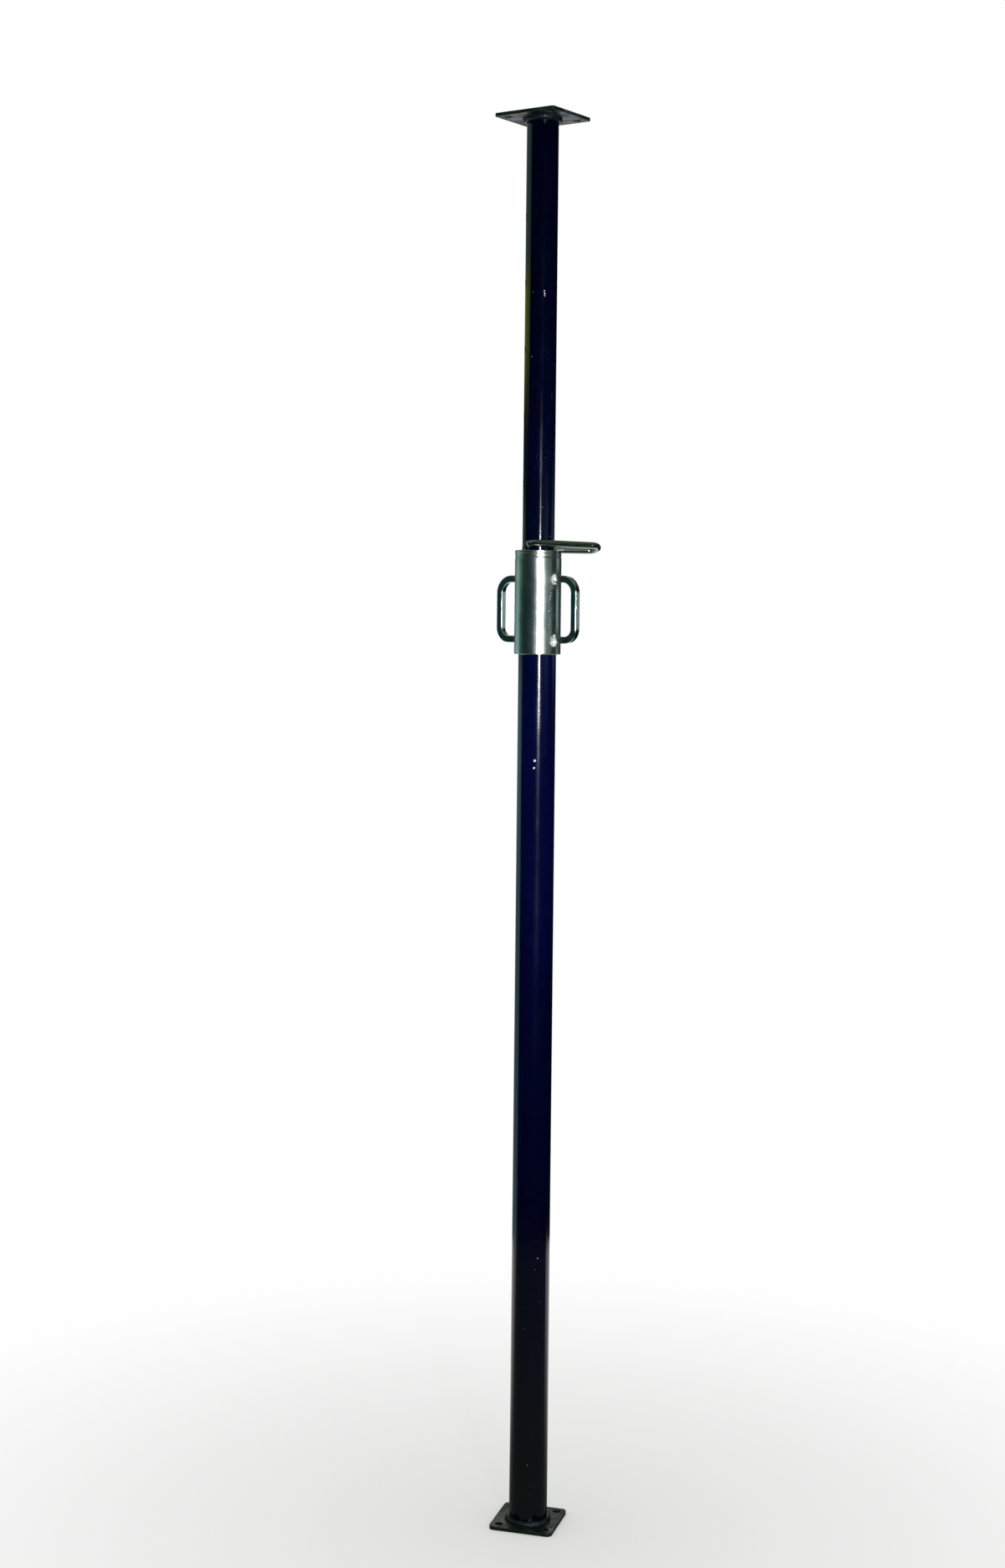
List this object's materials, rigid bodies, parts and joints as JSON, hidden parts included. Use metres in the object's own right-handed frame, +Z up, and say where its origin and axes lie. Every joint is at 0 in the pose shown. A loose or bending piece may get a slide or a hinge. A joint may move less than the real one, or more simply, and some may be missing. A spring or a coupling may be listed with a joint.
{
  "type": "adjustable steel prop",
  "caption": "Telescopic steel prop: painted tubes with drilled end plates, zinc sleeve nut with loop handles and a G-shaped pin through the inner tube.",
  "frame": {"origin": "centre of the base plate's underside, on the axis of the tubes", "axes": "+Z up along the tubes to the head plate; the sleeve nut's handles lie along X"},
  "size_m": [0.1527, 0.1236, 2.1107],
  "materials": {
    "dark_paint": "gloss",
    "plate_paint": "worn",
    "zinc": "bright zinc plate",
    "thread_steel": "greased"
  },
  "bodies": {
    "outer": {"base_plate": "plate_paint", "base_weld": "dark_paint", "outer_tube": "dark_paint", "outer_thread": "thread_steel"},
    "thrust_ring": {"thrust_ring": "zinc"},
    "nut": {"nut_sleeve": "zinc", "nut_thread": "thread_steel", "handle_right": "zinc", "handle_left": "zinc", "handle_welds_right": "zinc", "handle_welds_left": "zinc"},
    "inner": {"inner_tube": "dark_paint", "head_weld": "dark_paint", "head_plate": "plate_paint"},
    "pin": {"g_pin": "zinc"}
  },
  "joints": [
    {"name": "nut_rise", "type": "slide", "parent": "outer", "child": "thrust_ring", "axis": [0, 0, 1], "range_m": [0, 0.088]},
    {"name": "nut_turn", "type": "hinge", "parent": "thrust_ring", "child": "nut", "pos_m": [0, 0, 1.3745], "axis": [0, 0, 1], "range_deg": [0, 3960]},
    {"name": "extension", "type": "slide", "parent": "thrust_ring", "child": "inner", "axis": [0, 0, 1], "range_m": [0, 0.55]},
    {"name": "pin_pull", "type": "slide", "parent": "inner", "child": "pin", "axis": [0.6947, 0.7193, 0], "range_m": [0, 0.062]}
  ],
  "couplings": [
    {"joint": "nut_rise", "follows": "nut_turn", "m_per_rad": 0.0012732}
  ]
}
